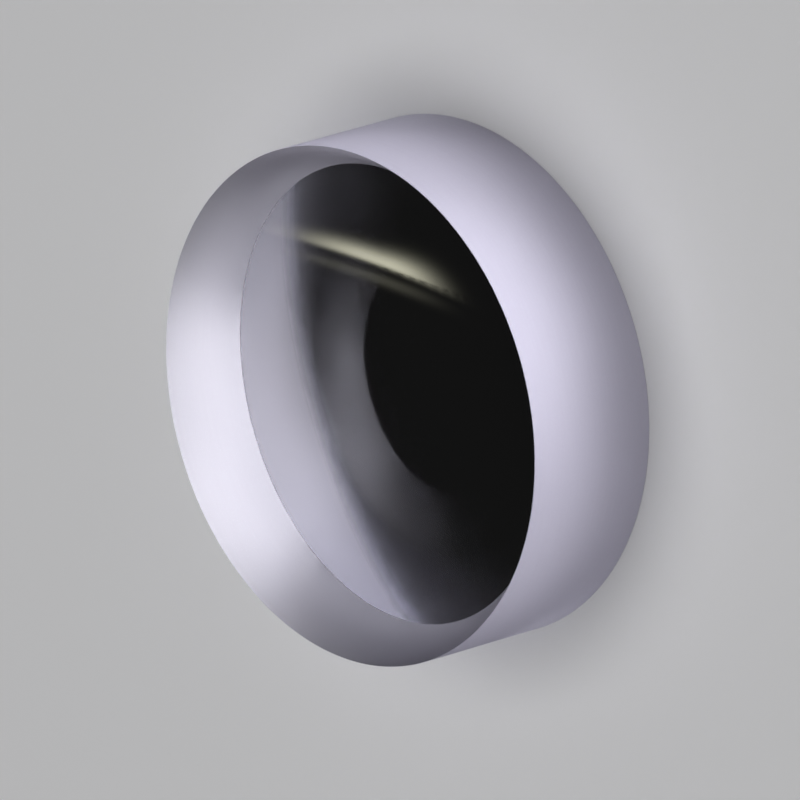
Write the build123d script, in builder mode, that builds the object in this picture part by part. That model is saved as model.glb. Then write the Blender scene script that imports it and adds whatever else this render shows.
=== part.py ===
"""Biconcave lens: one disc of high-index optical glass, lying flat on its back rim.

Millimetres, +Z up along the optical axis. The origin is on the axis, in the plane
that the lens rests on. The deeper hollow faces up and the shallower one faces down.
"""

from build123d import *

import os
from math import sqrt

# Driving dimensions, as a lens drawing gives them
lens_diameter = 25.4      # over the ground edge
centre_thickness = 4.0    # glass on the optical axis
front_radius = 35.5       # radius of curvature of the upper, deeper face
back_radius = 65.0        # radius of curvature of the lower, shallower face
front_bevel = 0.04        # leg of the 45 degree bevel round the upper rim
back_bevel = 0.04         # leg of the 45 degree bevel round the lower rim


def sag(curvature_radius, aperture_radius):
    """Depth of a spherical hollow at its middle, below a rim of the given radius."""
    return curvature_radius - sqrt(curvature_radius**2 - aperture_radius**2)


# Radii at which the polished faces end and the bevels begin
edge_radius = lens_diameter / 2
front_aperture = edge_radius - front_bevel
back_aperture = edge_radius - back_bevel

# Heights along the optical axis, from the plane that the back rim rests on
back_vertex = sag(back_radius, back_aperture)
front_vertex = back_vertex + centre_thickness
front_rim = front_vertex + sag(front_radius, front_aperture)

with BuildPart() as lens:
    with BuildSketch(Plane.XZ) as half_section:
        with BuildLine() as outline:
            # Polished lower face, from the axis out to the back rim
            RadiusArc((0, back_vertex), (back_aperture, 0), back_radius)
            # Lower bevel, ground edge and upper bevel
            Line((back_aperture, 0), (edge_radius, back_bevel))
            Line((edge_radius, back_bevel), (edge_radius, front_rim - front_bevel))
            Line((edge_radius, front_rim - front_bevel), (front_aperture, front_rim))
            # Polished upper face, from the front rim in to the axis
            RadiusArc((front_aperture, front_rim), (0, front_vertex), front_radius)
            # Optical axis
            Line((0, front_vertex), (0, back_vertex))
        make_face()
    revolve(axis=Axis.Z)
lens.part.label = "lens"

os.makedirs("parts", exist_ok=True)
export_step(lens.part, "parts/lens.step")
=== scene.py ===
"""Looks of the biconcave lens: an exact lathe-turned body with polished faces and a fine-ground edge.

Everything is in metres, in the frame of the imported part: +Z up along the optical axis, the lens lying on
its lower rim. The deeper hollow faces up, as in the photograph.
"""

from math import asin, atan2, cos, exp, pi, radians, sin

import bpy
from mathutils import Matrix, Vector


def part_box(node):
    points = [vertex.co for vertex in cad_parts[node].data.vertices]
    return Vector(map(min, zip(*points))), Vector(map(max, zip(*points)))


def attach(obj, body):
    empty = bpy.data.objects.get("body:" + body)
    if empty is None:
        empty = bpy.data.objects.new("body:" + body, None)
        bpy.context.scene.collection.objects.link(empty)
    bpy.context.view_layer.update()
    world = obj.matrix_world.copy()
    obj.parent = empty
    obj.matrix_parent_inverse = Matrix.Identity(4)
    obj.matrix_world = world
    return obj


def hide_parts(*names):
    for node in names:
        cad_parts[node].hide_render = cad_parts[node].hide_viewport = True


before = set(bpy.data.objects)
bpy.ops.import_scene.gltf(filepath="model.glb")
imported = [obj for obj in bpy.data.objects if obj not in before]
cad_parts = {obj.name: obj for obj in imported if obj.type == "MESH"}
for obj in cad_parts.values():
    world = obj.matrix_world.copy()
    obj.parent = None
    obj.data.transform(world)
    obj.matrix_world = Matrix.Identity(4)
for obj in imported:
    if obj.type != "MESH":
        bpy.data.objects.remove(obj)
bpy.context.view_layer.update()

MM = 0.001

# Sizes of the lens. The diameter and the height are read from the frame.
lens_low, lens_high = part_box("lens")
EDGE_RADIUS = (lens_high[0] - lens_low[0]) / 2
LENS_HEIGHT = lens_high[2] - lens_low[2]
FRONT_RADIUS = 35.5 * MM      # radius of curvature of the upper face
BACK_RADIUS = 65.0 * MM       # radius of curvature of the lower face
BEVEL = 0.02 * MM             # leg of the bevel round each rim
APERTURE = EDGE_RADIUS - BEVEL
GLASS_INDEX = 1.75            # refractive index of the glass

# How finely the lens is turned
SEGMENTS = 256
FACE_RINGS = 72
EDGE_RINGS = 6
ON_AXIS = 1e-9    # metres; a ring smaller than this is one point


# Mesh of the lens

def face_profile(curvature_radius, rim_height, downward):
    """(radius, height) points of a spherical hollow, from the axis out to its rim."""
    rim_angle = asin(APERTURE / curvature_radius)
    points = []
    for ring in range(FACE_RINGS + 1):
        angle = rim_angle * ring / FACE_RINGS
        drop = curvature_radius * (cos(angle) - cos(rim_angle))
        points.append((curvature_radius * sin(angle), rim_height + (-drop if downward else drop)))
    return points


def lens_sections():
    """The outline of the lens in four named sections, from the lower axis point round to the upper one."""
    lower = face_profile(BACK_RADIUS, 0.0, downward=False)
    upper = face_profile(FRONT_RADIUS, LENS_HEIGHT, downward=True)
    land = LENS_HEIGHT - 2 * BEVEL
    wall = [(EDGE_RADIUS, BEVEL + land * ring / EDGE_RINGS) for ring in range(EDGE_RINGS + 1)]
    return [
        ("lower_face", lower),
        ("bevel", [lower[-1], wall[0]]),
        ("edge", wall),
        ("bevel", [wall[-1], upper[-1]]),
        ("upper_face", upper[::-1]),
    ]


def turned_mesh(name, sections, slots):
    """A closed mesh turned about Z. Each section's faces get its slot, and its ends are sharp edges."""
    vertices, faces, face_slots, sharp_rings = [], [], [], []
    previous = None
    for section, points in sections:
        rings = []
        for radius, height in points:
            if radius < ON_AXIS:
                rings.append([len(vertices)])
                vertices.append((0.0, 0.0, height))
            elif previous is not None and not rings:
                rings.append(previous)
            else:
                rings.append(list(range(len(vertices), len(vertices) + SEGMENTS)))
                for step in range(SEGMENTS):
                    angle = 2 * pi * step / SEGMENTS
                    vertices.append((radius * cos(angle), radius * sin(angle), height))
        for lower, upper in zip(rings, rings[1:]):
            for step in range(SEGMENTS):
                after = (step + 1) % SEGMENTS
                corners = [lower[step % len(lower)], lower[after % len(lower)]]
                corners += [upper[after % len(upper)], upper[step % len(upper)]]
                faces.append(list(dict.fromkeys(corners)))
                face_slots.append(slots.index(section))
        previous = rings[-1]
        if len(previous) == SEGMENTS:
            sharp_rings.append(set(previous))
    mesh = bpy.data.meshes.new(name)
    mesh.from_pydata(vertices, [], faces)
    mesh.polygons.foreach_set("material_index", face_slots)
    mesh.polygons.foreach_set("use_smooth", [True] * len(faces))
    for edge in mesh.edges:
        edge.use_edge_sharp = any(ring.issuperset(edge.vertices) for ring in sharp_rings)
    mesh.update()
    mesh.validate()
    return mesh


# Materials

def new_material(name):
    material = bpy.data.materials.new(name)
    material.use_nodes = True
    nodes, links = material.node_tree.nodes, material.node_tree.links
    nodes.clear()
    return material, nodes, links


def fine_noise(nodes, links, scale, detail, stretch=(1.0, 1.0, 1.0)):
    """A noise texture fixed to the object. Its scale counts waves per metre."""
    place = nodes.new("ShaderNodeTexCoord")
    squeeze = nodes.new("ShaderNodeMapping")
    squeeze.inputs["Scale"].default_value = stretch
    noise = nodes.new("ShaderNodeTexNoise")
    noise.inputs["Scale"].default_value = scale
    noise.inputs["Detail"].default_value = detail
    links.new(place.outputs["Object"], squeeze.inputs["Vector"])
    links.new(squeeze.outputs["Vector"], noise.inputs["Vector"])
    return noise


def blend_colours(nodes, links, factor, low, high):
    """A colour that runs from low to high with the factor."""
    ramp = nodes.new("ShaderNodeValToRGB")
    ramp.color_ramp.elements[0].position = 0.3
    ramp.color_ramp.elements[1].position = 0.7
    ramp.color_ramp.elements[0].color = (*low, 1.0)
    ramp.color_ramp.elements[1].color = (*high, 1.0)
    links.new(factor, ramp.inputs["Fac"])
    return ramp.outputs["Color"]


def upper_face_glass():
    """Clear glass with the faintest unevenness in its tint."""
    material, nodes, links = new_material("polished_upper_face")
    output = nodes.new("ShaderNodeOutputMaterial")
    glass = nodes.new("ShaderNodeBsdfPrincipled")
    glass.inputs["Roughness"].default_value = 0.0
    glass.inputs["IOR"].default_value = GLASS_INDEX
    glass.inputs["Transmission Weight"].default_value = 1.0
    cloud = fine_noise(nodes, links, 120.0, 2.0)
    tint = blend_colours(nodes, links, cloud.outputs["Fac"], (0.990, 0.990, 0.995), (1.0, 1.0, 1.0))
    links.new(tint, glass.inputs["Base Color"])
    links.new(glass.outputs[0], output.inputs["Surface"])
    return material


# The lower face's glass in four parts, each with its index and its share of red, green and blue. Their
# spread makes total reflection in this face fade out softly, with a bluish rim.
LOWER_FACE_PARTS = [
    (1.665, (0.255, 0.245, 0.230)),
    (1.690, (0.250, 0.245, 0.240)),
    (1.715, (0.240, 0.245, 0.255)),
    (1.740, (0.235, 0.245, 0.275)),
]
LOWER_FACE_SOFTNESS = 0.07      # roughness of its polish
COATING_INDEX = 1.70            # index that the reflectance below is worked out for
COATED_BELOW = 0.068            # where the bare face would reflect less than this, the coating stops it all
UNCOATED_ABOVE = 0.095          # and above this it stops nothing


def lower_face_glass():
    """Clear glass with a coating that takes away the weak reflections at small angles."""
    material, nodes, links = new_material("polished_lower_face")
    output = nodes.new("ShaderNodeOutputMaterial")
    total = None
    for index, share in LOWER_FACE_PARTS:
        glass = nodes.new("ShaderNodeBsdfGlass")
        glass.inputs["Color"].default_value = (*share, 1.0)
        glass.inputs["Roughness"].default_value = LOWER_FACE_SOFTNESS
        glass.inputs["IOR"].default_value = index
        if total is None:
            total = glass
            continue
        both = nodes.new("ShaderNodeAddShader")
        links.new(total.outputs[0], both.inputs[0])
        links.new(glass.outputs[0], both.inputs[1])
        total = both
    no_reflection = nodes.new("ShaderNodeBsdfRefraction")
    no_reflection.inputs["Roughness"].default_value = LOWER_FACE_SOFTNESS
    no_reflection.inputs["IOR"].default_value = GLASS_INDEX
    reflectance = nodes.new("ShaderNodeFresnel")
    reflectance.inputs["IOR"].default_value = COATING_INDEX
    coating = nodes.new("ShaderNodeMapRange")
    coating.interpolation_type = "SMOOTHSTEP"
    coating.inputs["From Min"].default_value = COATED_BELOW
    coating.inputs["From Max"].default_value = UNCOATED_ABOVE
    coated = nodes.new("ShaderNodeMixShader")
    links.new(reflectance.outputs["Fac"], coating.inputs["Value"])
    links.new(coating.outputs["Result"], coated.inputs["Fac"])
    links.new(no_reflection.outputs[0], coated.inputs[1])
    links.new(total.outputs[0], coated.inputs[2])
    links.new(coated.outputs[0], output.inputs["Surface"])
    return material


TRANSLUCENCY = 0.35     # share of the frosting's light that goes through it
ROUGH_SHARE = 0.42      # share of the ground surface that acts as rough glass
GRAIN_WAVES = 9000.0    # waves per metre of the grinding grain
GRAIN_DEPTH = 0.01 * MM
GRAIN_RELIEF = 0.08     # strength of the bump that the grain makes
TURNING_WAVES = 260.0   # waves per metre of the turning marks, round the edge
TURNING_STRETCH = 30.0  # how much finer the marks are along the axis


def ground_glass(name):
    """Fine-ground glass: white from outside, glowing when light falls through it, with a faint grain."""
    material, nodes, links = new_material(name)
    output = nodes.new("ShaderNodeOutputMaterial")
    grain = fine_noise(nodes, links, GRAIN_WAVES, 3.0)
    turning_marks = fine_noise(nodes, links, TURNING_WAVES, 4.0, stretch=(1.0, 1.0, TURNING_STRETCH))
    # The mottle is the mean of the grain and the turning marks
    mottle = nodes.new("ShaderNodeMath")
    mottle.operation = "MULTIPLY_ADD"
    mottle.inputs[1].default_value = 0.5
    links.new(grain.outputs["Fac"], mottle.inputs[0])
    halved = nodes.new("ShaderNodeMath")
    halved.operation = "MULTIPLY"
    halved.inputs[1].default_value = 0.5
    links.new(turning_marks.outputs["Fac"], halved.inputs[0])
    links.new(halved.outputs[0], mottle.inputs[2])
    relief = nodes.new("ShaderNodeBump")
    relief.inputs["Strength"].default_value = GRAIN_RELIEF
    relief.inputs["Distance"].default_value = GRAIN_DEPTH
    links.new(grain.outputs["Fac"], relief.inputs["Height"])

    rough = nodes.new("ShaderNodeBsdfPrincipled")
    rough.inputs["Roughness"].default_value = 1.0
    rough.inputs["IOR"].default_value = GLASS_INDEX
    rough.inputs["Transmission Weight"].default_value = 1.0
    scatter_back = nodes.new("ShaderNodeBsdfDiffuse")
    scatter_through = nodes.new("ShaderNodeBsdfTranslucent")
    tints = [
        (rough.inputs["Base Color"], (0.93, 0.92, 0.97)),
        (scatter_back.inputs["Color"], (0.88, 0.86, 0.95)),
        (scatter_through.inputs["Color"], (0.90, 0.88, 0.95)),
    ]
    for socket, (red, green, blue) in tints:
        tint = blend_colours(
            nodes, links, mottle.outputs[0],
            (red * 0.985, green * 0.982, blue * 0.985),
            (min(1.0, red * 1.015), min(1.0, green * 1.018), min(1.0, blue * 1.015)))
        links.new(tint, socket)
    for shader in (rough, scatter_back, scatter_through):
        links.new(relief.outputs["Normal"], shader.inputs["Normal"])

    frosting = nodes.new("ShaderNodeMixShader")
    frosting.inputs["Fac"].default_value = TRANSLUCENCY
    links.new(scatter_back.outputs[0], frosting.inputs[1])
    links.new(scatter_through.outputs[0], frosting.inputs[2])
    whole = nodes.new("ShaderNodeMixShader")
    whole.inputs["Fac"].default_value = ROUGH_SHARE
    links.new(frosting.outputs[0], whole.inputs[1])
    links.new(rough.outputs[0], whole.inputs[2])
    links.new(whole.outputs[0], output.inputs["Surface"])
    return material


def floor_material(name, glow):
    """A pale studio table with a very faint cloud in its tone, and, if asked, a glow of its own that is
    painted light.
    """
    material, nodes, links = new_material(name)
    output = nodes.new("ShaderNodeOutputMaterial")
    surface = nodes.new("ShaderNodeBsdfPrincipled")
    cloud = fine_noise(nodes, links, 9.0, 3.0)
    tone = blend_colours(nodes, links, cloud.outputs["Fac"], (0.81, 0.81, 0.82), (0.83, 0.83, 0.84))
    links.new(tone, surface.inputs["Base Color"])
    surface.inputs["Emission Color"].default_value = (1.0, 1.0, 1.0, 1.0)
    surface.inputs["Emission Strength"].default_value = glow
    surface.inputs["Roughness"].default_value = 0.9
    surface.inputs["Specular IOR Level"].default_value = 0.1
    links.new(surface.outputs[0], output.inputs["Surface"])
    return material


# The lens itself

surfaces = {
    "lower_face": lower_face_glass(),
    "upper_face": upper_face_glass(),
    "edge": ground_glass("ground_edge"),
    "bevel": ground_glass("ground_bevel"),
}
lens_mesh = turned_mesh("lens_body", lens_sections(), list(surfaces))
for material in surfaces.values():
    lens_mesh.materials.append(material)
lens = bpy.data.objects.new("lens_body", lens_mesh)
bpy.context.scene.collection.objects.link(lens)
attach(lens, "root")
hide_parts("lens")


# Floor, and a disc of painted shade under the lens

def flat_sheet(name, corners, material):
    """One flat face in the scene."""
    mesh = bpy.data.meshes.new(name)
    mesh.from_pydata(corners, [], [tuple(range(len(corners)))])
    mesh.materials.append(material)
    sheet = bpy.data.objects.new(name, mesh)
    bpy.context.scene.collection.objects.link(sheet)
    return sheet


FLOOR_HALF = 3.0    # metres, half the side of the floor
floor_corners = [(x * FLOOR_HALF, y * FLOOR_HALF, 0) for x, y in ((-1, -1), (1, -1), (1, 1), (-1, 1))]
floor = flat_sheet("floor", floor_corners, floor_material("pale_floor", 0.0))
# The floor throws no light back at the lens and isn't seen through it, so that the glass stays dark inside,
# as in the photograph
floor.visible_diffuse = False
floor.visible_transmission = False

# A disc of painted shade under the lens, seen only through the glass. No lamp lights it, so it is dark, and
# its faint glow is painted light that makes the dark grey inside the lens.
# Strength of the painted glow of the disc of painted shade
PAINTED_GLOW_UNDER_LENS = 0.0068
SHADE_DISC_CORNERS = 64
SHADE_DISC_DROP = 0.01 * MM
shade_disc_angles = [2 * pi * step / SHADE_DISC_CORNERS for step in range(SHADE_DISC_CORNERS)]
shade_disc_corners = [(EDGE_RADIUS * cos(angle), EDGE_RADIUS * sin(angle), -SHADE_DISC_DROP) for angle in shade_disc_angles]
# The disc of painted shade: the floor's tone, unlit, with a faint painted glow
painted_shade_sheet = flat_sheet("painted_shade_disc", shade_disc_corners, floor_material("painted_shade_disc", PAINTED_GLOW_UNDER_LENS))
painted_shade_sheet.visible_camera = False
painted_shade_sheet.visible_diffuse = False
painted_shade_sheet.visible_glossy = False
painted_shade_sheet.visible_shadow = False

# Camera. The photograph looks at the upper face 48.5 degrees off its axis, from far away. Its picture shows
# the axis running back to the right and 16 degrees up, so the camera is rolled.
VIEW_OFF_AXIS = radians(48.5)
AXIS_IMAGE_RISE = radians(16.0)
PHOTO_SIZE = 800.0
RIM_CENTRE = (348.9, 406.5)       # centre of the upper rim in the photograph, pixels
RIM_HALF_WIDTH = 266.6            # half the long axis of its ellipse, pixels
FOCAL_LENGTH, SENSOR = 1000.0, 36.0   # millimetres

toward_camera = Vector((0, -sin(VIEW_OFF_AXIS), cos(VIEW_OFF_AXIS)))
# How the axis recedes in the picture
away_along_axis = Vector((0, -cos(VIEW_OFF_AXIS), -sin(VIEW_OFF_AXIS)))
across = toward_camera.cross(away_along_axis)
image_right = away_along_axis * cos(AXIS_IMAGE_RISE) - across * sin(AXIS_IMAGE_RISE)
image_up = away_along_axis * sin(AXIS_IMAGE_RISE) + across * cos(AXIS_IMAGE_RISE)

metres_per_pixel = EDGE_RADIUS / RIM_HALF_WIDTH
rim_centre = Vector((0, 0, LENS_HEIGHT))
offset_right = (PHOTO_SIZE / 2 - RIM_CENTRE[0]) * metres_per_pixel
offset_up = (RIM_CENTRE[1] - PHOTO_SIZE / 2) * metres_per_pixel
target = rim_centre + image_right * offset_right + image_up * offset_up
distance = metres_per_pixel * PHOTO_SIZE * FOCAL_LENGTH / SENSOR

camera_data = bpy.data.cameras.new("camera")
camera_data.lens = FOCAL_LENGTH
camera_data.sensor_width = SENSOR
camera_data.clip_start, camera_data.clip_end = 0.01, 10.0
camera = bpy.data.objects.new("camera", camera_data)
camera.matrix_world = Matrix((
    (image_right.x, image_up.x, toward_camera.x, target.x + toward_camera.x * distance),
    (image_right.y, image_up.y, toward_camera.y, target.y + toward_camera.y * distance),
    (image_right.z, image_up.z, toward_camera.z, target.z + toward_camera.z * distance),
    (0, 0, 0, 1),
))
bpy.context.scene.collection.objects.link(camera)
bpy.context.scene.camera = camera


# Light

def direction(azimuth, elevation):
    """Unit vector from the lens. Azimuth 0 is the camera's side, 180 the far side, plus is image-down."""
    a, e = radians(azimuth), radians(elevation)
    return Vector((-sin(a) * cos(e), -cos(a) * cos(e), sin(e)))


def area_light(name, location, rotation, size, power, colour):
    """A rectangular lamp that shines down when its rotation, in XYZ angles, is nought."""
    data = bpy.data.lights.new(name, "AREA")
    data.shape = "RECTANGLE"
    data.size, data.size_y = size
    data.energy = power
    data.color = colour
    light = bpy.data.objects.new(name, data)
    light.location = location
    light.rotation_euler = rotation
    bpy.context.scene.collection.objects.link(light)
    return light


SPOT_REACH = 0.5    # metres from a spot to what it is aimed at


def spot_light(name, azimuth, elevation, beam_size, power, colour, aim, source_radius=0.002):
    """A spot whose soft-edged oval beam has the given half width and half height where it meets the lens."""
    half_width, half_height = beam_size
    data = bpy.data.lights.new(name, "SPOT")
    data.energy = power
    data.color = colour
    data.spot_size = 2 * atan2(half_height, SPOT_REACH)
    data.spot_blend = 1.0
    data.shadow_soft_size = source_radius
    light = bpy.data.objects.new(name, data)
    back = direction(azimuth, elevation)
    light.location = Vector(aim) + back * SPOT_REACH
    light.rotation_mode = "QUATERNION"
    light.rotation_quaternion = (-back).to_track_quat("-Z", "Y")
    light.scale = (half_width / half_height, 1, 1)
    bpy.context.scene.collection.objects.link(light)
    return light


# The floor and the lens are lit apart, so that the lens's own lamps leave no pools of light on the floor

def group_of(name, thing):
    """A collection of one object, for a lamp to light alone."""
    collection = bpy.data.collections.new(name)
    collection.objects.link(thing)
    return collection


def light_only(lamp, receivers, through_glass=False):
    """Let a lamp light one collection and no polished face mirror it. With through_glass, its light also
    passes through the ground glass and the faces."""
    lamp.visible_camera = False
    lamp.visible_glossy = False
    lamp.visible_transmission = through_glass
    lamp.light_linking.receiver_collection = receivers


floor_only = group_of("floor_only", floor)
lens_only = group_of("lens_only", lens)

FLOOR_LAMP_HEIGHT = 1.504    # metres
FLOOR_LAMP_SIDE = 1.6        # metres
FLOOR_LAMP_POWER = 17.3      # watts
floor_lamp = area_light(
    "floor_lamp", (0, 0, FLOOR_LAMP_HEIGHT), (0, 0, 0), (FLOOR_LAMP_SIDE, FLOOR_LAMP_SIDE), FLOOR_LAMP_POWER,
    (1.0, 1.0, 1.0))
light_only(floor_lamp, floor_only)

# Small lamps round the lens, each given by its azimuth in degrees, the height on the edge that it is aimed
# at, the half width and half height of its beam there, all three in millimetres, and its power in watts.
# The powers and tints are rounded results of a least-squares fit to the brightness and colour in the
# photograph. Only the far lamps at 84, 98, 266 and 278 degrees were set one by one.
NEAR_LAMPS = [
    (-55, 11.0, 18.0, 11.0, 11.61),
    (-10, 9.5, 9.0, 8.5, 8.20),
    (15, 9.5, 9.0, 8.5, 4.58),
    (40, 9.5, 9.0, 8.5, 5.26),
    (-20, 2.0, 14.0, 12.0, 4.43),
    (20, 2.0, 14.0, 12.0, 1.00),
    (60, 2.0, 14.0, 12.0, 3.52),
]
NEAR_ELEVATION = 9    # degrees
NEAR_TINT = (1.017, 1.0, 1.113)
FAR_LAMPS = [
    (118, -2.5, 9.0, 10.6, 3.53),
    (140, -2.5, 9.0, 10.6, 3.38),
    (163, -2.5, 9.0, 10.6, 10.50),
    (209, -2.5, 9.0, 10.6, 7.99),
    (235, -2.5, 9.0, 10.6, 10.35),
    (84, -0.5, 7.0, 5.5, 1.20),
    (98, -0.5, 7.0, 5.5, 1.60),
    (128, -0.5, 7.0, 5.5, 3.34),
    (266, -0.5, 7.0, 5.5, 4.00),
    (278, -0.5, 7.0, 5.5, 1.00),
]
FAR_ELEVATION = 5    # degrees
FAR_TINT = (1.000, 1.0, 1.087)
LAMP_GROUPS = [
    ("near_lamp", NEAR_LAMPS, NEAR_ELEVATION, NEAR_TINT),
    ("far_lamp", FAR_LAMPS, FAR_ELEVATION, FAR_TINT),
]
for name, lamps, elevation, tint in LAMP_GROUPS:
    for azimuth, height, half_width, half_height, power in lamps:
        aim = direction(azimuth, 0) * EDGE_RADIUS
        aim.z = height * MM
        beam = (half_width * MM, half_height * MM)
        lamp = spot_light(name, azimuth, elevation, beam, power, tint, aim)
        light_only(lamp, lens_only)

# One weak lamp high behind the lens, whose light goes into the glass through the ground edge. Its power and
# tint come from the same fit.
BACK_AZIMUTH, BACK_ELEVATION = 140, 30    # degrees
BACK_BEAM = (30.0 * MM, 30.0 * MM)
BACK_POWER = 1.08                         # watts
BACK_TINT = (1.005, 1.0, 1.291)
BACK_AIM = (0, 0, 4.0 * MM)
back_lamp = spot_light(
    "back_lamp", BACK_AZIMUTH, BACK_ELEVATION, BACK_BEAM, BACK_POWER, BACK_TINT, BACK_AIM, source_radius=0.0)
light_only(back_lamp, lens_only, through_glass=True)


# Low glow panels lying flat in rows round the foot of the far wall, unseen themselves

def every_five_degrees(radiances):
    """Radiances that are given at every 15 degrees, run evenly from each to the next in steps of 5."""
    fine = {}
    for azimuth, radiance in radiances.items():
        for shift in (-10, -5, 0, 5, 10):
            share = 1 - abs(shift) / 15
            fine[azimuth + shift] = fine.get(azimuth + shift, 0.0) + radiance * share
    return fine


# Each row has its start and end, measured out from the wall in millimetres, half the angle in degrees that a
# panel spans, and the radiance of the panel at each azimuth in degrees. The radiances and the tint come from
# the same fit.
PANEL_ROWS = [
    (0.0, 3.1, 2.5, every_five_degrees({157: 1.57, 172: 1.79, 187: 1.95, 202: 1.89, 217: 0.23})),
    (3.1, 9.5, 7.5,
     {127: 0.24, 142: 0.29, 157: 3.22, 172: 3.06, 187: 4.27, 202: 4.16, 217: 1.16, 232: 0.99}),
    (9.5, 18.0, 7.5, {127: 1.94, 142: 0.42, 157: 4.17, 172: 5.03}),
    (18.0, 36.0, 7.5, {142: 1.20, 157: 3.91}),
]
PANEL_TINT = (1.011, 1.0, 1.063)
PANEL_RISE = 0.003 * MM    # above the floor
for row_start, row_end, half_angle, radiances in PANEL_ROWS:
    length = (row_end - row_start) * MM
    middle = EDGE_RADIUS + (row_start + row_end) / 2 * MM
    width = 2 * middle * sin(radians(half_angle))
    for azimuth, radiance in radiances.items():
        power = radiance * pi * width * length
        foot = direction(azimuth, 0) * middle
        facing_up = (pi, 0, atan2(foot.y, foot.x) - pi / 2)
        place = (foot.x, foot.y, PANEL_RISE)
        panel = area_light("glow_panel", place, facing_up, (width, length), power, PANEL_TINT)
        light_only(panel, lens_only, through_glass=True)


# Two thin warm lamps, bent like bows, that only the polished faces mirror

LAMP_REACH = 5.0    # metres, far enough for its reflection to depend on direction only
# Both directions are worked out from where the two streaks lie in the photograph
LAMP_MIDDLE = Vector((-0.21116, 0.86361, 0.45781))    # towards the middle of the bows
LAMP_SIDE = Vector((0.89899, -0.01226, 0.43780))      # square to the bows


def bow_lamp(name, start, end, ridge, soft_side, sharp_side, strength, glow_along, glow_across, colour):
    """A glowing ribbon at LAMP_REACH from the lens.

    Angles are in degrees seen from the lens: start and end along the bow, ridge(t) for how far it bends
    aside at t along it, and soft_side and sharp_side for how wide it is on each side of the ridge. Its
    glow is the strength times glow_along(t) and glow_across(t, s), where s is measured from the ridge.
    """
    steps_along, steps_across = 120, 32
    along = LAMP_SIDE.cross(LAMP_MIDDLE)
    vertices, glow = [], []
    for i in range(steps_along + 1):
        t = start + (end - start) * i / steps_along
        for j in range(steps_across + 1):
            s = -soft_side + (soft_side + sharp_side) * j / steps_across
            aside, turn = radians(ridge(t) + s), radians(t)
            toward = cos(aside) * (cos(turn) * LAMP_MIDDLE + sin(turn) * along) + sin(aside) * LAMP_SIDE
            vertices.append(toward * LAMP_REACH)
            glow.append(strength * glow_along(t) * glow_across(t, s))
    row = steps_across + 1
    faces = [
        (i * row + j, i * row + j + 1, (i + 1) * row + j + 1, (i + 1) * row + j)
        for i in range(steps_along) for j in range(steps_across)
    ]
    mesh = bpy.data.meshes.new(name)
    mesh.from_pydata(vertices, [], faces)
    attribute = mesh.attributes.new("glow", "FLOAT", "POINT")
    attribute.data.foreach_set("value", glow)
    material, nodes, links = new_material(name)
    output = nodes.new("ShaderNodeOutputMaterial")
    emission = nodes.new("ShaderNodeEmission")
    emission.inputs["Color"].default_value = (*colour, 1.0)
    level = nodes.new("ShaderNodeAttribute")
    level.attribute_name = "glow"
    links.new(level.outputs["Fac"], emission.inputs["Strength"])
    links.new(emission.outputs[0], output.inputs["Surface"])
    mesh.materials.append(material)
    lamp = bpy.data.objects.new(name, mesh)
    bpy.context.scene.collection.objects.link(lamp)
    lamp.visible_camera = False
    lamp.visible_diffuse = False
    lamp.visible_transmission = False
    lamp.visible_shadow = False
    return lamp


def bell(x, middle, low_width, high_width, power=2.0):
    """A bell curve whose two sides can have different widths. A higher power gives it a flatter top."""
    width = low_width if x < middle else high_width
    return exp(-abs((x - middle) / width)**power)


WARM_WHITE = (1.0, 0.976, 0.75)
bow_lamp(
    "upper_bow", start=-24, end=22, ridge=lambda t: 1.5 - 0.0049 * (t + 2)**2,
    soft_side=4.0, sharp_side=1.0, strength=4.6,
    glow_along=lambda t: bell(t, 1.5, 10.6, 12.4, power=2.7),
    glow_across=lambda t, s: bell(s, 0.0, 1.15 + 0.03 * max(0.0, -t), 0.45), colour=WARM_WHITE)
bow_lamp(
    "lower_bow", start=-20, end=20, ridge=lambda t: 3.42 - 0.0055 * (t - 1)**2,
    soft_side=1.5, sharp_side=1.5, strength=0.43,
    glow_along=lambda t: bell(t, 6.0, 12.5, 14.0, power=2.7),
    glow_across=lambda t, s: bell(s, 0.0, 0.6, 0.6), colour=WARM_WHITE)

# A plain grey surround, seen by the camera only
world = bpy.data.worlds.new("studio")
world.use_nodes = True
world.node_tree.nodes["Background"].inputs["Color"].default_value = (0.48, 0.48, 0.49, 1.0)
world.node_tree.nodes["Background"].inputs["Strength"].default_value = 1.0
bpy.context.scene.world = world
world.cycles_visibility.diffuse = False
world.cycles_visibility.glossy = False
world.cycles_visibility.transmission = False

scene = bpy.context.scene
scene.cycles.caustics_reflective = False
scene.cycles.caustics_refractive = False
scene.cycles.max_bounces = 24
scene.cycles.transmission_bounces = 24
scene.cycles.glossy_bounces = 2
scene.view_settings.view_transform = "Standard"
